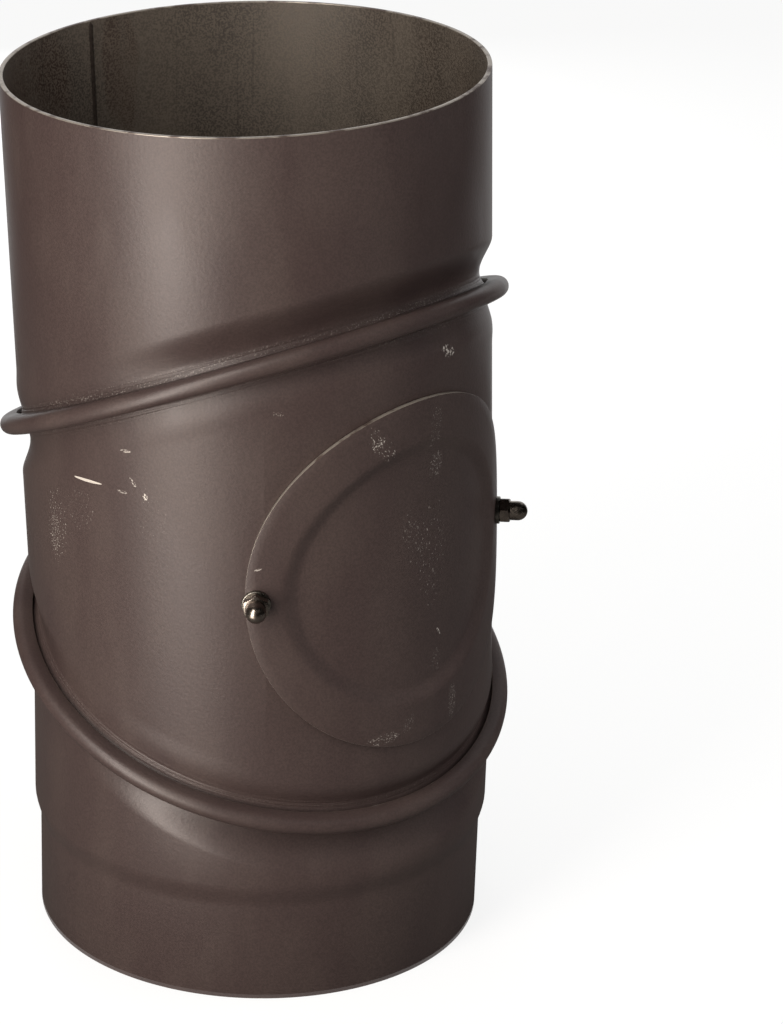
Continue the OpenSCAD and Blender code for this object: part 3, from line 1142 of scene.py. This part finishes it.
@dataclass(frozen=True)
class CleaningCover:
    """Round cover: a flat blank, pressed in at its centre and rolled to the pipe."""

    place: Place
    height: float
    marks: tuple[Mark, ...] = COVER_MARKS
    in_r: float = 102.3 * MM
    wall: float = 2 * MM
    blank_r: float = 77.5 * MM
    panel_r: float = 52 * MM
    step_width: float = 8 * MM
    panel_depth: float = 3 * MM
    notch_r: float = 4.2 * MM
    notch_inset: float = 4.5 * MM
    edge_round: float = 0.4 * MM
    sides: int = 180
    flat_rings: int = 10
    step_rings: int = 10
    rim_rings: int = 4

    @property
    def head_r(self) -> float:
        """Radius at which the pressed step ends in the cover's rim."""
        return self.panel_r + self.step_width

    def blank(self) -> bpy.types.Object:
        """Returns the pressed blank, lying flat with its outer face up."""
        flat = [(self.panel_r * step / self.flat_rings, 0.0) for step in range(1, self.flat_rings)]
        step = [
            (self.panel_r + self.step_width * k / self.step_rings, ease(k / self.step_rings))
            for k in range(self.step_rings + 1)
        ]
        rim = [
            (self.head_r + (self.blank_r - self.head_r) * k / self.rim_rings, 1.0)
            for k in range(1, self.rim_rings + 1)
        ]
        rings = [
            level_ring(radius, self.wall - self.panel_depth * (1 - rise))
            for radius, rise in [(MM, 0.0)] + flat + step + rim
        ]
        blank = draw_rings("cleaning_cover_sheet", rings[::-1], self.sides)
        bpy.ops.object.mode_set(mode="EDIT")
        bpy.ops.mesh.select_mode(type="EDGE")
        bpy.ops.mesh.edge_face_add()
        bpy.ops.object.mode_set(mode="OBJECT")
        return blank

    def notch(self, side: int) -> bpy.types.Object:
        """Returns the tool that cuts the open notch round a stud.

        Args:
            side: 1 or -1, the side of the blank along X.
        """
        centre = side * (self.blank_r - self.notch_inset)
        deselect_everything()
        bpy.ops.mesh.primitive_cylinder_add(
            vertices=48, radius=self.notch_r, depth=4 * self.wall, location=(centre, 0, 0)
        )
        tool = name_piece("notch_tool")
        bpy.ops.object.transform_apply(location=True, rotation=True, scale=True)
        bpy.ops.object.mode_set(mode="EDIT")
        bpy.ops.mesh.select_mode(type="VERT")
        bpy.ops.mesh.select_all(action="DESELECT")
        bpy.ops.object.mode_set(mode="OBJECT")
        for vertex in tool.data.vertices:
            vertex.select = (vertex.co.x - centre) * side >= -1e-7
        bpy.ops.object.mode_set(mode="EDIT")
        bpy.ops.transform.translate(value=(side * 2 * self.notch_inset, 0, 0))
        bpy.ops.object.mode_set(mode="OBJECT")
        return tool

    def roll(self, blank: bpy.types.Object) -> None:
        """Rolls the blank to the pipe, with its outer face towards -Y.

        The rim keeps its flat lengths. The centre is pressed straight in, so it stays round
        as seen from the front. No operator does both, so each vertex is placed by the formula.
        """
        settled_r = (self.head_r + self.blank_r) / 2
        for vertex in blank.data.vertices:
            across, up, out = vertex.co
            reach = math.hypot(across, up)
            share = ease((reach - self.head_r) / (settled_r - self.head_r))
            turn = (1 - share) * math.asin(across / self.in_r) + share * across / self.in_r
            radius = self.in_r + out
            vertex.co = (radius * math.sin(turn), -radius * math.cos(turn), self.height + up)

    def build(self) -> None:
        """Draws, cuts and rolls the cover and hangs it on the middle section."""
        cover = self.blank()
        self.dress(cover)
        if cover.data.polygons[len(cover.data.polygons) // 2].normal.z < 0:
            make_active(cover)
            bpy.ops.object.mode_set(mode="EDIT")
            bpy.ops.mesh.select_all(action="SELECT")
            bpy.ops.mesh.flip_normals()
            bpy.ops.object.mode_set(mode="OBJECT")
        apply_modifier(
            cover, "SOLIDIFY", thickness=self.wall, offset=-1, use_even_offset=True,
            material_offset=SheetFace.INSIDE.value, material_offset_rim=SheetFace.CUT_EDGE.value,
        )
        for side in (-1, 1):
            combine(cover, self.notch(side), "DIFFERENCE")
        round_edges(cover, self.edge_round)
        self.roll(cover)
        mount(cover, self.place.matrix(), Body.MIDDLE, Slot.PAINT, ["cleaning_cover"])

    def dress(self, cover: bpy.types.Object) -> None:
        """Gives the cover its paint, its plain back and its worn edge."""
        finishes = (
            StovePaint("stove_paint_cover", self.marks, (), self.place.matrix(), self.in_r + self.wall),
            StovePaint("stove_paint_cover_back"),
            WornEdge("worn_edge_cover", bare=0.6),
        )
        for finish in finishes:
            cover.data.materials.append(finish.material())


# Fasteners


@dataclass(frozen=True)
class CoverFastener:
    """Weld stud, washer and cap nut at one side of the cleaning cover.

    Each piece is drawn with +Z out along the stud and its origin on the pipe's axis.
    """

    side: Side
    origin: Vector
    axis: Vector
    upright: Vector
    washer_body: Body
    nut_body: Body
    pipe_r: float = 102 * MM
    seat_r: float = 105.9 * MM
    thread_r: float = 3 * MM
    thread_depth: float = 0.61 * MM
    pitch: float = 1 * MM
    stud_length: float = 11 * MM
    collar_r: float = 3.75 * MM
    collar_height: float = 0.8 * MM
    washer_r: float = 6 * MM
    washer_wall: float = 1.6 * MM
    washer_hole_r: float = 3.2 * MM
    hex_flats: float = 10 * MM
    hex_height: float = 4.4 * MM
    dome_r: float = 4.2 * MM
    nut_length: float = 12 * MM
    bore_r: float = 3.05 * MM
    bore_length: float = 9 * MM
    sides: int = 64

    @property
    def place(self) -> Matrix:
        """Matrix from the stud's frame to the part's."""
        return Place(self.origin, self.upright.cross(self.axis), self.axis).matrix()

    def build(self) -> None:
        """Draws the stud, the washer and the cap nut."""
        self.build_stud()
        self.build_washer()
        self.build_nut()

    def build_stud(self) -> None:
        """Draws the threaded stud on its weld collar."""
        low, high = self.pipe_r + self.collar_height / 2, self.pipe_r + self.stud_length
        root_r = self.thread_r - self.thread_depth
        deselect_everything()
        bpy.ops.mesh.primitive_circle_add(vertices=4, radius=self.pitch / 2)
        stud = name_piece(f"{self.side.value}_stud_thread")
        mesh = stud.data
        start = low - 2 * self.pitch
        tooth = ((root_r, 0.0), (self.thread_r, 0.45), (self.thread_r, 0.55), (root_r, 1.0))
        for vertex, (radius, share) in zip(mesh.vertices, tooth):
            vertex.co = (radius, 0, start + share * self.pitch)
        bpy.ops.object.mode_set(mode="EDIT")
        bpy.ops.mesh.select_mode(type="EDGE")
        bpy.ops.mesh.select_all(action="DESELECT")
        bpy.ops.object.mode_set(mode="OBJECT")
        for edge in mesh.edges:
            edge.select = set(edge.vertices) == {0, 3}
        bpy.ops.object.mode_set(mode="EDIT")
        bpy.ops.mesh.delete(type="EDGE_FACE")
        bpy.ops.object.mode_set(mode="OBJECT")
        turns = math.ceil((high - start) / self.pitch) + 2
        apply_modifier(
            stud, "SCREW", axis="Z", angle=math.tau, screw_offset=self.pitch, iterations=turns,
            steps=32, render_steps=32, use_merge_vertices=True, merge_threshold=1e-6,
        )
        bpy.ops.object.mode_set(mode="EDIT")
        for height, outward in ((low, -1), (high, 1)):
            bpy.ops.mesh.select_all(action="SELECT")
            bpy.ops.mesh.bisect(
                plane_co=(0, 0, height), plane_no=(0, 0, outward), use_fill=True, clear_outer=True
            )
        bpy.ops.mesh.select_all(action="SELECT")
        bpy.ops.mesh.remove_doubles(threshold=1e-6)
        face_outwards()
        bpy.ops.object.mode_set(mode="OBJECT")
        finish = ZincPlate(f"zinc_thread_{self.side.value}", bloom_size=1.2 * MM)
        stud.data.materials.append(finish.material())
        collar = self.draw_collar()
        collar.data.materials.append(finish.material())
        mount(stud, self.place, Body.MIDDLE, Slot.ZINC, [f"{self.side.value}_stud"])
        mount(collar, self.place, Body.MIDDLE, Slot.ZINC)

    def draw_collar(self) -> bpy.types.Object:
        """Returns the stud's weld collar, with its rounded flash."""
        top = self.pipe_r + self.collar_height
        flash = self.collar_height / 2
        profile = [(self.collar_r, self.pipe_r - flash), (self.collar_r, top - flash)]
        profile += [
            (self.collar_r - flash + flash * math.cos(a), top - flash + flash * math.sin(a))
            for a in arc(15, 90, 5)
        ]
        return draw_turned(f"{self.side.value}_stud_collar", profile, self.sides)

    def build_washer(self) -> None:
        """Draws the stamped washer: rounded over on its upper edge, square below."""
        low, high = self.seat_r - self.washer_wall, self.seat_r
        corner = self.washer_wall * 0.3
        profile = [(self.washer_hole_r, low), (self.washer_r, low)]
        profile += [
            (self.washer_r - corner + corner * math.cos(a), high - corner + corner * math.sin(a))
            for a in arc(0, 90, 5)
        ]
        profile += [(self.washer_hole_r + corner / 2, high), (self.washer_hole_r, high - corner / 2)]
        washer = draw_rings(
            f"{self.side.value}_washer_ring", [level_ring(*station) for station in profile], self.sides
        )
        bpy.ops.object.mode_set(mode="EDIT")
        bpy.ops.mesh.select_all(action="DESELECT")
        bpy.ops.mesh.select_non_manifold()
        bpy.ops.mesh.bridge_edge_loops()
        face_outwards()
        bpy.ops.object.mode_set(mode="OBJECT")
        washer.data.materials.append(ZincPlate(f"zinc_washer_{self.side.value}").material())
        mount(washer, self.place, self.washer_body, Slot.ZINC, [f"{self.side.value}_washer"])

    def build_nut(self) -> None:
        """Draws the cap nut: a chamfered hexagon, a dome and a blind hole."""
        low = self.seat_r
        corner_r = self.hex_flats / math.sqrt(3)
        slope = math.tan(math.radians(30))
        chamfer_r = self.hex_flats / 2 * 0.95
        deselect_everything()
        bpy.ops.mesh.primitive_cylinder_add(
            vertices=6, radius=corner_r, depth=self.hex_height,
            location=(0, 0, low + self.hex_height / 2), rotation=(0, 0, math.radians(self.hex_turn)),
        )
        nut = name_piece(f"{self.side.value}_cap_nut_plated")
        bpy.ops.object.transform_apply(location=True, rotation=True, scale=True)
        drop = (corner_r - chamfer_r) * slope
        barrel = draw_turned(
            "hex_chamfer",
            [
                (chamfer_r, low), (corner_r + MM, low + drop + MM * slope),
                (corner_r + MM, low + self.hex_height - drop - MM * slope),
                (chamfer_r, low + self.hex_height),
            ],
            self.sides,
        )
        combine(nut, barrel, "INTERSECT")
        centre = low + self.nut_length - self.dome_r
        dome_profile = [(self.dome_r, low + self.hex_height / 2)]
        dome_profile += [
            (self.dome_r * math.cos(a), centre + self.dome_r * math.sin(a)) for a in arc(0, 88, 16)
        ]
        combine(nut, draw_turned("nut_dome", dome_profile, self.sides), "UNION")
        bore_profile = [
            (self.bore_r + 0.6 * MM, low - 0.1 * MM), (self.bore_r, low + 0.5 * MM),
            (self.bore_r, low + self.bore_length), (0.3 * MM, low + self.bore_length + MM),
        ]
        combine(nut, draw_turned("nut_bore", bore_profile, self.sides), "DIFFERENCE")
        nut.data.materials.clear()
        nut.data.materials.append(NickelPlate(f"nickel_nut_{self.side.value}").material())
        mount(nut, self.place, self.nut_body, Slot.NICKEL, [f"{self.side.value}_cap_nut"])

    @property
    def hex_turn(self) -> float:
        """Turn of the hexagon about the stud, in degrees, as each nut was tightened."""
        return 0.0 if self.side is Side.LEFT else 8.0


# Studio


@dataclass(frozen=True)
class PhotoCamera:
    """The photo's viewpoint, fitted to the pipe's joints and rims in the part's frame."""

    azimuth: float = math.radians(-35.256)
    elevation: float = math.radians(21.880)
    roll: float = math.radians(2.021)
    distance: float = 1410.88 * MM
    aim: Vector = field(default_factory=lambda: Vector((42.94, -34.64, 190.60)) * MM)
    lens: float = 147.95
    sensor_width: float = 36.0
    far: float = 50.0

    def build(self) -> None:
        """Adds the camera and makes it the scene's own."""
        deselect_everything()
        back = direction(self.azimuth, self.elevation)
        level = Vector((math.cos(self.azimuth), math.sin(self.azimuth), 0))
        upright = back.cross(level)
        right = level * math.cos(self.roll) + upright * math.sin(self.roll)
        up = upright * math.cos(self.roll) - level * math.sin(self.roll)
        bpy.ops.object.camera_add(location=self.aim + back * self.distance)
        camera = bpy.context.object
        camera.name = "photo_camera"
        camera.rotation_mode = "QUATERNION"
        camera.rotation_quaternion = Matrix((right, up, back)).transposed().to_quaternion()
        camera.data.lens = self.lens
        camera.data.sensor_width = self.sensor_width
        camera.data.sensor_fit = "HORIZONTAL"
        camera.data.clip_end = self.far
        camera.data.dof.use_dof = False
        bpy.context.scene.camera = camera


def direction(azimuth: float, elevation: float) -> Vector:
    """Returns the way towards a viewpoint: azimuth 0 is at -Y, and both are in radians."""
    return Vector((
        math.sin(azimuth) * math.cos(elevation),
        -math.cos(azimuth) * math.cos(elevation),
        math.sin(elevation),
    ))


@dataclass(frozen=True)
class SoftBox:
    """A rectangular soft box that faces a point on the part's axis."""

    name: str
    azimuth: float
    elevation: float
    distance: float
    width: float
    height: float
    power: float
    aim_height: float = 0.2
    warmth: str = "#FFF7EE"
    in_reflections: bool = True

    def build(self) -> None:
        """Adds the light."""
        deselect_everything()
        back = direction(math.radians(self.azimuth), math.radians(self.elevation))
        place = Vector((0, 0, self.aim_height)) + back * self.distance
        bpy.ops.object.light_add(type="AREA", location=place)
        light = bpy.context.object
        light.name = self.name
        light.rotation_mode = "QUATERNION"
        light.rotation_quaternion = back.to_track_quat("Z", "Y")
        light.visible_camera = False
        light.visible_glossy = self.in_reflections
        light.data.shape = "RECTANGLE"
        light.data.size = self.width
        light.data.size_y = self.height
        light.data.energy = self.power
        light.data.color = linear(self.warmth)[:3]


@dataclass(frozen=True)
class DarkCard:
    """Dark card that only reflections see: it keeps part of the white room off the paint."""

    name: str
    place: Place
    width: float
    height: float
    tone: str = "#1C1B1A"

    def build(self) -> None:
        """Adds the card, with its width along X and its face along Z of its place."""
        deselect_everything()
        bpy.ops.mesh.primitive_plane_add(size=1.0)
        card = name_piece(self.name)
        put_in_place(card, self.place.matrix() @ Matrix.Diagonal((self.width, self.height, 1, 1)))
        card.visible_camera = False
        card.visible_diffuse = False
        card.visible_transmission = False
        card.visible_shadow = False
        material = bpy.data.materials.new(self.name)
        material.use_nodes = True
        shader = material.node_tree.nodes["Principled BSDF"]
        shader.inputs["Base Color"].default_value = linear(self.tone)
        shader.inputs["Roughness"].default_value = 0.9
        shader.inputs["Specular IOR Level"].default_value = 0.0
        card.data.materials.append(material)


@dataclass(frozen=True)
class Studio:
    """White studio: floor, room, soft boxes, dark cards and the photo's camera."""

    floor_size: float = 30.0
    paper: str = "#F4F4F2"
    paper_as_light: str = "#707070"
    paper_glow: float = 0.8
    room_level: float = 0.75
    lights: tuple[SoftBox, ...] = (
        SoftBox("key_soft_box", azimuth=-67, elevation=20, distance=0.8, width=0.28, height=1.0, power=9),
        SoftBox("low_soft_box", azimuth=-65, elevation=-40.4, distance=0.63, width=0.21, height=0.35,
                power=1.1, aim_height=0.52),
        SoftBox("fill_soft_box", azimuth=60, elevation=15, distance=1.5, width=0.8, height=1.0, power=8,
                warmth="#FFFFFF", in_reflections=False),
        SoftBox("back_soft_box", azimuth=160, elevation=15, distance=1.5, width=0.8, height=1.0, power=9,
                warmth="#FFFFFF", in_reflections=False),
    )
    tent_radius: float = 1.0
    tent_height: float = 1.25
    # Azimuth and width of each wall; the gap between them leaves white behind the part
    tent_walls: tuple[tuple[float, float], ...] = ((60, 2.0), (-20, 1.4), (-90, 1.4), (-150, 1.0))
    tent_gap: float = 30
    table_tone: str = "#5E5C5A"

    def build(self) -> None:
        """Adds the studio round the finished part."""
        PhotoCamera().build()
        for light in self.lights:
            light.build()
        self.build_cards()
        self.build_floor()
        self.build_world()
        bpy.context.scene.view_settings.view_transform = "Standard"

    def build_cards(self) -> None:
        """Adds the tent of dark cards, which is open behind the part as the photo sees it."""
        up = Vector((0, 0, 1))
        for number, (azimuth, width) in enumerate(self.tent_walls, 1):
            out = direction(math.radians(azimuth), 0)
            foot = out * self.tent_radius + up * self.tent_height / 2
            DarkCard(f"wall_card_{number}", Place(foot, out.cross(up), -out), width, self.tent_height).build()
        lid = Place(up * self.tent_height, Vector((1, 0, 0)), -up)
        DarkCard("lid_card", lid, 2 * self.tent_radius, 2 * self.tent_radius).build()
        behind = PhotoCamera().azimuth + math.pi
        for side in (-1, 1):
            gap = math.radians(self.tent_gap) * side
            aside = direction(behind + gap + math.pi / 2 * side, 0)
            half = Place(aside * self.tent_radius / 2 + up * 2 * MM, direction(behind + gap, 0), up)
            name = f"table_card_{side + 2}"
            DarkCard(name, half, 2 * self.tent_radius, self.tent_radius, self.table_tone).build()

    def seen_directly(self, tree: bpy.types.NodeTree) -> bpy.types.NodeSocket:
        """Returns 1 for a ray from the camera, from a gloss or through glass, and else 0."""
        path = add_node(tree, "LightPath")
        shown = path.outputs["Is Camera Ray"]
        for kind in ("Is Glossy Ray", "Is Transmission Ray"):
            shown = add_node(tree, "Math", {0: shown, 1: path.outputs[kind]}, operation="MAXIMUM").outputs[0]
        return shown

    def build_floor(self) -> None:
        """Adds the paper floor: white where it is seen, with the part's shadow, and grey as light."""
        deselect_everything()
        bpy.ops.mesh.primitive_plane_add(size=self.floor_size, location=(0, 0, 0))
        floor = name_piece("paper_floor")
        material = bpy.data.materials.new("white_paper")
        material.use_nodes = True
        tree = material.node_tree
        shader = tree.nodes["Principled BSDF"]
        seen = self.seen_directly(tree)
        ports = {MixPort.FIRST.value: linear(self.paper_as_light), MixPort.SECOND.value: linear(self.paper)}
        tone = add_node(tree, "Mix", {"Factor": seen, **ports}, data_type="RGBA")
        tree.links.new(tone.outputs[MixPort.RESULT.value], shader.inputs["Base Color"])
        shader.inputs["Roughness"].default_value = 0.9
        glow = add_node(tree, "Emission", {"Color": (1, 1, 1, 1), "Strength": 1.0})
        share = add_node(tree, "Math", {0: seen, 1: self.paper_glow}, operation="MULTIPLY")
        mixed = add_node(tree, "MixShader", {0: share.outputs[0], 1: shader.outputs[0], 2: glow.outputs[0]})
        tree.links.new(mixed.outputs[0], tree.nodes["Material Output"].inputs["Surface"])
        floor.data.materials.append(material)

    def build_world(self) -> None:
        """Makes the room: white to the camera and in reflections, dimmer as light."""
        world = bpy.data.worlds.new("studio_room")
        world.use_nodes = True
        tree = world.node_tree
        strength = add_node(
            tree, "MapRange", {"Value": self.seen_directly(tree), "To Min": self.room_level, "To Max": 1.0}
        )
        tree.links.new(strength.outputs[0], tree.nodes["Background"].inputs["Strength"])
        tree.nodes["Background"].inputs["Color"].default_value = (1, 1, 1, 1)
        bpy.context.scene.world = world


@dataclass(frozen=True)
class StovePipeElbow:
    """The whole elbow, put together from its sub-assemblies."""

    elbow: ElbowFrame
    sizes: PipeSizes

    def build(self) -> None:
        """Builds the sections, the cover and the two fasteners."""
        elbow = self.elbow
        lengths = (elbow.lower_centre.z, elbow.middle_length, elbow.top_length)
        places = (elbow.bottom_place, elbow.middle_place, elbow.top_place)
        for kind, place, length in zip((BottomSection, MiddleSection, TopSection), places, lengths):
            kind(self.sizes, place, length, elbow.cut).build()
        CleaningCover(elbow.middle_place, elbow.middle_length / 2).build()
        for side, washer, nut in (
            (Side.LEFT, Body.LEFT_WASHER, Body.LEFT_NUT),
            (Side.RIGHT, Body.RIGHT_WASHER, Body.RIGHT_NUT),
        ):
            self.fastener(side, washer, nut).build()

    def fastener(self, side: Side, washer: Body, nut: Body) -> CoverFastener:
        """Returns one fastener, placed by its nut's packed joint."""
        joints = {joint["name"]: joint for joint in frame["joints"]}
        joint = joints[f"{side.value}_nut_turn"]
        axis = Vector(joint["axis"]).normalized()
        seat = Vector(joint["pos_m"])
        origin = seat - axis * CoverFastener.seat_r
        return CoverFastener(side, origin, axis, self.elbow.middle_place.z_axis, washer, nut)


def main() -> None:
    """Builds the elbow and its studio."""
    logging.basicConfig(level=logging.INFO, format="%(message)s")
    StovePipeElbow(ElbowFrame.from_record(), PipeSizes()).build()
    Studio().build()


if __name__ == "__main__":
    main()
